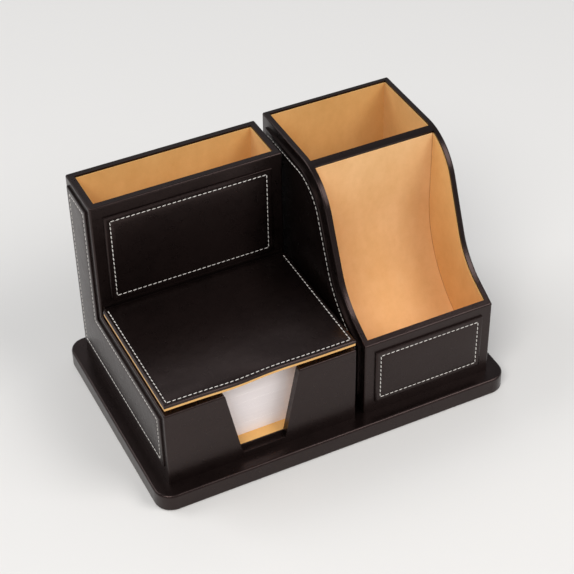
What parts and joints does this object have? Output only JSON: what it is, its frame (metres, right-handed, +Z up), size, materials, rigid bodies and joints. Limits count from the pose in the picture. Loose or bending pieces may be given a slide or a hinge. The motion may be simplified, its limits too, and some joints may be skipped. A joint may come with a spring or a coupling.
{
  "type": "desk organizer with memo box",
  "caption": "Leatherette desk organizer: memo box with a hinged padded lid, letter slot, pen well and a curved phone rest on one base.",
  "frame": {"origin": "middle of the underside, on the surface it stands on", "axes": "+X along the front to the right (the longest side), +Y from the front to the back, +Z up"},
  "size_m": [0.2164, 0.1424, 0.1395],
  "materials": {
    "leatherette": "smooth semi-gloss espresso leatherette",
    "stitched_leatherette": "padded espresso leatherette with light stitching",
    "suede_lining": "tan microfibre suede",
    "board": "medium density fibreboard",
    "felt": "dark felt",
    "foam": "thin foam",
    "paper": "plain white memo sheets"
  },
  "bodies": {
    "organizer": {"base_board": "board", "base_cover": "leatherette", "base_felt": "felt", "hinge_leaf": "leatherette", "memo_back_board": "board", "memo_back_cover": "leatherette", "memo_divider_board": "board", "memo_floor_board": "board", "memo_floor_lining": "suede_lining", "memo_front_board": "board", "memo_front_cover": "leatherette", "memo_left_board": "board", "memo_left_cover": "leatherette", "memo_left_pad": "stitched_leatherette", "memo_right_board": "board", "memo_right_cover": "leatherette", "memo_right_pad": "stitched_leatherette", "memo_sheets": "paper", "memo_tall_front_cover": "leatherette", "memo_tall_front_pad": "stitched_leatherette", "memo_well_lining": "suede_lining", "pen_back_board": "board", "pen_back_cover": "leatherette", "pen_divider_board": "board", "pen_divider_cover": "leatherette", "pen_floor_board": "board", "pen_floor_lining": "suede_lining", "pen_front_board": "board", "pen_front_cover": "leatherette", "pen_front_pad": "stitched_leatherette", "pen_left_board": "board", "pen_left_cover": "leatherette", "pen_left_pad": "stitched_leatherette", "pen_right_board": "board", "pen_right_cover": "leatherette", "pen_right_pad": "stitched_leatherette", "pen_well_lining": "suede_lining", "phone_floor_board": "board", "phone_front_lining": "suede_lining", "phone_left_lining": "suede_lining", "phone_ramp_board": "board", "phone_ramp_lining": "suede_lining", "phone_ramp_rib_left": "board", "phone_ramp_rib_right": "board", "phone_right_lining": "suede_lining", "slot_floor_board": "board", "slot_floor_lining": "suede_lining", "slot_lining": "suede_lining"},
    "memo_lid": {"lid_board": "board", "lid_cover": "stitched_leatherette", "lid_foam": "foam", "lid_hinge_fold": "leatherette", "lid_lining": "suede_lining"}
  },
  "joints": [
    {"name": "lid_hinge", "type": "hinge", "parent": "organizer", "child": "memo_lid", "pos_m": [-0.04275, 0.02315, 0.0678], "axis": [-1, 0, 0], "range_deg": [0, 90]}
  ]
}
